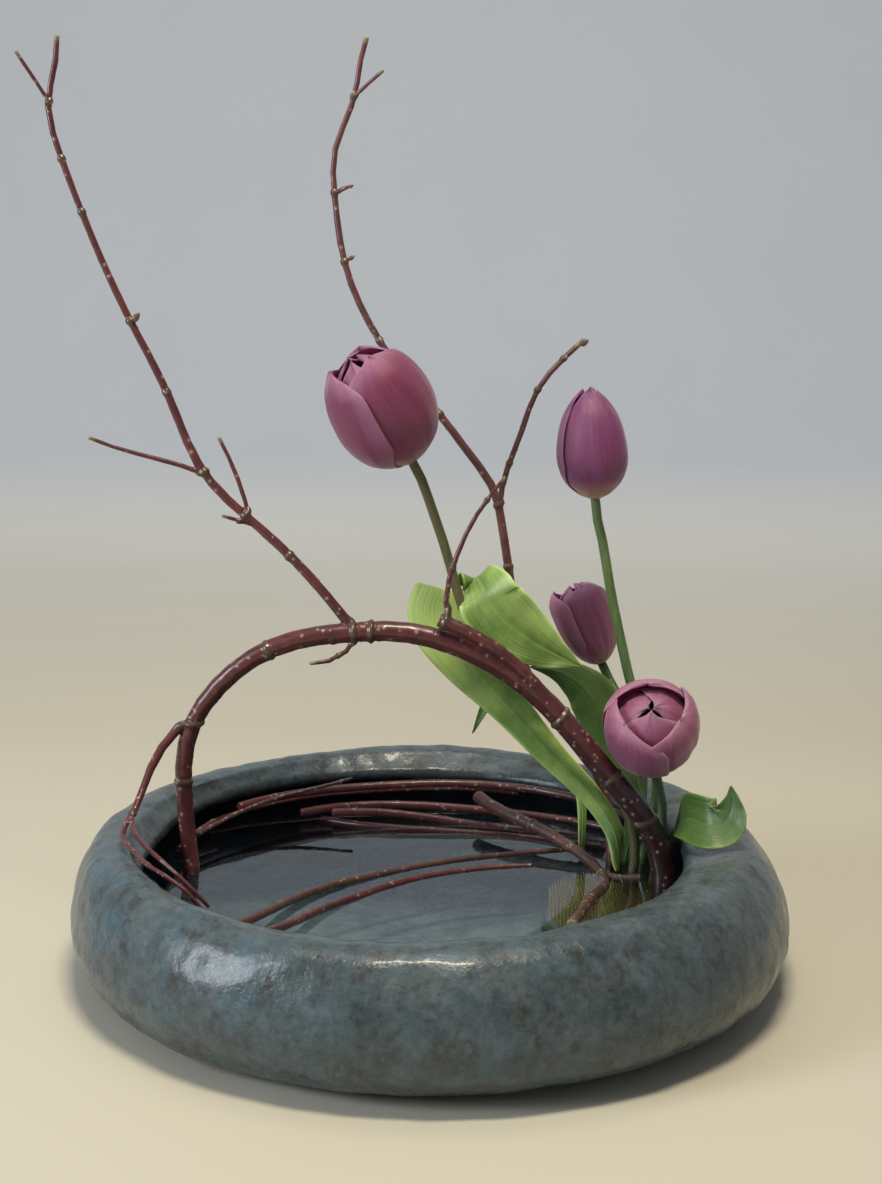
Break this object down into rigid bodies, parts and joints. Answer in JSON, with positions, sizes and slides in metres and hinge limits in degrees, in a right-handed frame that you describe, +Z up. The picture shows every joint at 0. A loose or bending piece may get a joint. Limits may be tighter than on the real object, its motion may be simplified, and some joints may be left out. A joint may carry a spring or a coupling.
{
  "type": "flower frog arrangement",
  "caption": "Weighted pin flower frog in a low glazed bowl, holding a bent red branch, a back branch, tulips with leaves and loose bent twigs.",
  "frame": {"origin": "centre of the bowl's underside, on the table", "axes": "+Z up, +X to the right and +Y to the back as the arrangement is viewed"},
  "size_m": [0.4249, 0.4, 0.5175],
  "materials": {
    "glaze": "gloss",
    "lead": "matte",
    "rubber": "matte",
    "brass": "satin",
    "bark": "satin",
    "bark_brown": "satin",
    "stem": "satin",
    "petal": "satin",
    "pollen": "matte",
    "leaf": "satin"
  },
  "bodies": {
    "bowl": {"bowl": "glaze", "ring_twig_1": "bark", "ring_twig_2": "bark", "ring_twig_3": "bark", "ring_twig_4": "bark", "ring_twig_5": "bark", "ring_twig_6": "bark", "ring_twig_7": "bark", "front_twig_1": "bark_brown", "front_twig_2": "bark"},
    "frog": {"frog_base": "lead", "frog_gasket": "rubber", "frog_needles": "brass", "forked_branch": "bark_brown"},
    "arch_branch": {"arch_branch": "bark"},
    "back_branch": {"back_branch": "bark"},
    "tulip_1": {"tulip_1_stem": "stem", "tulip_1_outer_petals": "petal", "tulip_1_inner_petals": "petal", "tulip_1_pistil": "stem", "tulip_1_stamens": "pollen", "tulip_1_leaf": "leaf"},
    "tulip_2": {"tulip_2_stem": "stem", "tulip_2_outer_petals": "petal", "tulip_2_inner_petals": "petal", "tulip_2_pistil": "stem", "tulip_2_stamens": "pollen", "tulip_2_leaf": "leaf"},
    "tulip_3": {"tulip_3_stem": "stem", "tulip_3_outer_petals": "petal", "tulip_3_inner_petals": "petal", "tulip_3_pistil": "stem", "tulip_3_stamens": "pollen", "tulip_3_leaf": "leaf"},
    "tulip_4": {"tulip_4_stem": "stem", "tulip_4_outer_petals": "petal", "tulip_4_inner_petals": "petal", "tulip_4_pistil": "stem", "tulip_4_stamens": "pollen", "tulip_4_leaf": "leaf"}
  },
  "joints": [
    {"name": "frog_lift", "type": "slide", "parent": "bowl", "child": "frog", "axis": [0, 0, 1], "range_m": [0, 0.06]},
    {"name": "arch_branch_lift", "type": "slide", "parent": "frog", "child": "arch_branch", "axis": [0, 0, 1], "range_m": [0, 0.0125]},
    {"name": "tulip_1_lift", "type": "slide", "parent": "frog", "child": "tulip_1", "axis": [0, 0, 1], "range_m": [0, 0.0125]},
    {"name": "tulip_3_lift", "type": "slide", "parent": "frog", "child": "tulip_3", "axis": [0, 0, 1], "range_m": [0, 0.0125]},
    {"name": "tulip_4_lift", "type": "slide", "parent": "arch_branch", "child": "tulip_4", "axis": [0, 0, 1], "range_m": [0, 0.0125]},
    {"name": "back_branch_lift", "type": "slide", "parent": "tulip_3", "child": "back_branch", "axis": [0, 0, 1], "range_m": [0, 0.0125]},
    {"name": "tulip_2_lift", "type": "slide", "parent": "back_branch", "child": "tulip_2", "axis": [0, 0, 1], "range_m": [0, 0.0125]}
  ]
}
